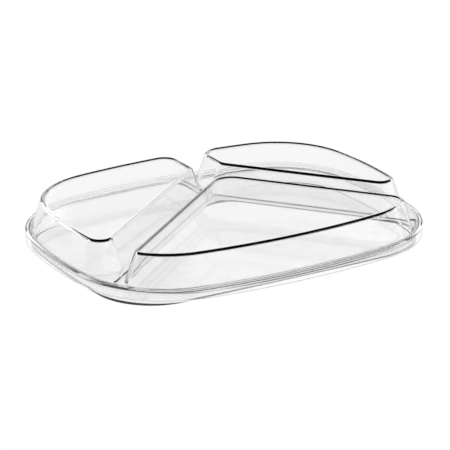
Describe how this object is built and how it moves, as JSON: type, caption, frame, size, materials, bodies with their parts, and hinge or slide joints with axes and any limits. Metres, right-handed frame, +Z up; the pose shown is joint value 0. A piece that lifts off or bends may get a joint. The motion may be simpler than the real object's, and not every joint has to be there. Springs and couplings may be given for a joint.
{
  "type": "covered dish with a three-domed lid",
  "caption": "Shallow clear tray with rounded, bulging sides, under a loose clear lid that rises in three flat-topped domes, parted by a Y of ribbed valleys.",
  "frame": {"origin": "centre of the tray's underside, at the middle of the object's box, on the surface it stands on", "axes": "+X along the length, +Y across towards the valley that runs straight out, +Z up"},
  "size_m": [0.26, 0.202, 0.0335],
  "materials": {
    "clear_tray": "clear colourless polystyrene, polished",
    "clear_lid": "clear colourless polystyrene, polished"
  },
  "bodies": {
    "base": {"base_dish": "clear_tray"},
    "lid": {"lid": "clear_lid"}
  },
  "joints": [
    {"name": "lid_lift", "type": "slide", "parent": "base", "child": "lid", "axis": [0, 0, 1], "range_m": [0, 0.06]}
  ]
}
